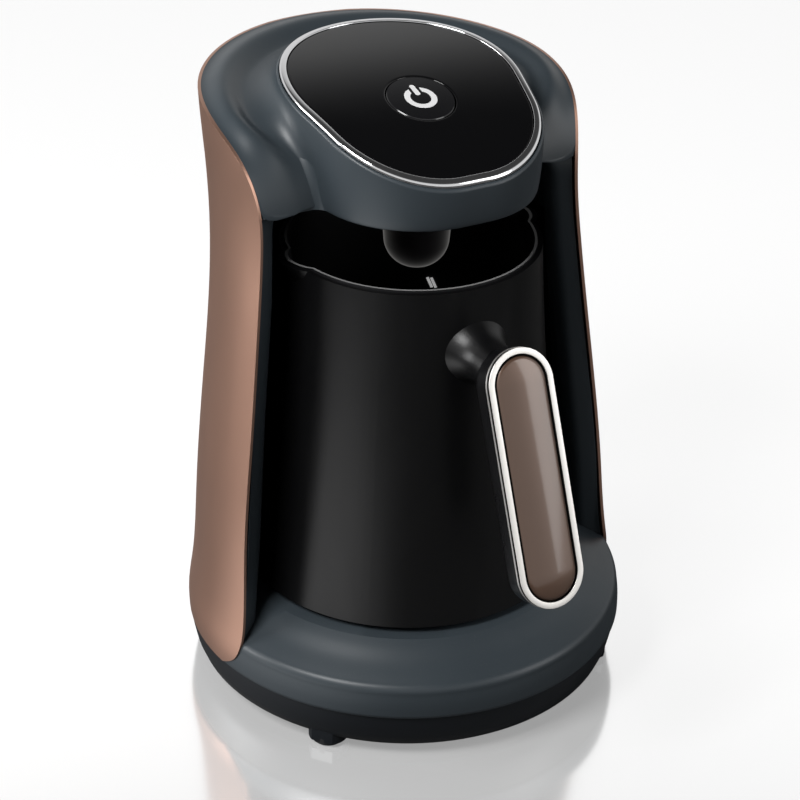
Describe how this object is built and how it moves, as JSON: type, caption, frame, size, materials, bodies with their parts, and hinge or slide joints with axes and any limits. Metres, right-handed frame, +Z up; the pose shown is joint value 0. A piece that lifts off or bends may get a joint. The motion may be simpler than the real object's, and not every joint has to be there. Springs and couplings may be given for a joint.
{
  "type": "electric turkish coffee maker",
  "caption": "Counter-top Turkish coffee maker: lift-out pot with side handle and spouts, standing in a recess between two arms under an overhanging head with a press button.",
  "frame": {"origin": "on the axis of the round base, in the plane of the feet", "axes": "+Z up, front (handle and button side) towards -Y, +X to the right seen from the front"},
  "size_m": [0.147, 0.1664, 0.2065],
  "materials": {
    "copper_skin": "satin rose-brown metallic",
    "anthracite_shell": "satin blue-grey",
    "base_black": "satin near-black",
    "black_plastic": "satin black",
    "dome_plastic": "smoked gloss",
    "window_plastic": "dark infrared-clear",
    "panel_gloss": "high gloss black",
    "symbol_white": "white translucent",
    "bright_chrome": "polished",
    "pot_coating": "satin black coating",
    "pot_inner": "non-stick black coating",
    "mark_white": "printed white",
    "insert_brown": "glossy brown",
    "foot_rubber": "matt",
    "seal_silicone": "matt silicone",
    "inner_plastic": "heat-resistant, natural",
    "switch_plastic": "matt",
    "plunger_plastic": "matt",
    "board_green": "solder mask",
    "component_dark": "matt",
    "wire_cover": "silicone sleeve",
    "contact_brass": "bright",
    "screw_steel": "zinc-plated",
    "spring_steel": "bright wire",
    "heater_steel": "heat-tinted",
    "heater_aluminium": "cast"
  },
  "bodies": {
    "base": {"base_connector": "inner_plastic", "base_contacts": "contact_brass", "base_cover": "anthracite_shell", "base_pan": "base_black", "base_screws": "screw_steel", "body_housing": "anthracite_shell", "button_guide": "inner_plastic", "buzzer": "switch_plastic", "clamp_screws": "screw_steel", "connector_clamp": "inner_plastic", "control_board": "board_green", "control_components": "component_dark", "control_screws": "screw_steel", "cord_bush": "base_black", "head_frame": "inner_plastic", "head_underside": "black_plastic", "housing_screws": "screw_steel", "outer_skin": "copper_skin", "power_board": "board_green", "power_components": "component_dark", "recess_liner": "black_plastic", "rubber_feet": "foot_rubber", "seat_plate": "black_plastic", "sensor_board": "board_green", "sensor_dome": "dome_plastic", "sensor_windows": "window_plastic", "switch_body": "switch_plastic", "terminal_block": "inner_plastic", "terminal_screws": "screw_steel", "top_panel": "panel_gloss", "trim_ring": "bright_chrome", "wiring": "wire_cover"},
    "power_button": {"button_cap": "panel_gloss", "power_symbol": "symbol_white", "button_spring": "spring_steel"},
    "key_plunger": {"switch_plunger": "plunger_plastic"},
    "pot": {"pot_shell": "pot_coating", "pot_vessel": "pot_inner", "level_marks": "mark_white", "heater_plate": "heater_aluminium", "heater_coil": "heater_steel", "pot_base_cap": "inner_plastic", "pot_socket": "inner_plastic", "socket_contacts": "contact_brass", "seal_ring": "seal_silicone", "temperature_probes": "heater_steel", "pot_screws": "screw_steel", "handle_grip": "black_plastic", "handle_bezel": "bright_chrome", "handle_insert": "insert_brown", "handle_screw": "screw_steel"}
  },
  "joints": [
    {"name": "button_press", "type": "slide", "parent": "base", "child": "power_button", "axis": [0, 0.2869, -0.958], "range_m": [0, 0.0008], "stiffness_N_per_m": 1500},
    {"name": "plunger_press", "type": "slide", "parent": "base", "child": "key_plunger", "axis": [0, 0.2869, -0.958], "range_m": [0, 0.0008]},
    {"name": "pot_lift", "type": "slide", "parent": "base", "child": "pot", "axis": [0, 0, 1], "range_m": [0, 0.01]}
  ],
  "couplings": [
    {"joint": "plunger_press", "follows": "button_press", "ratio": 1}
  ]
}
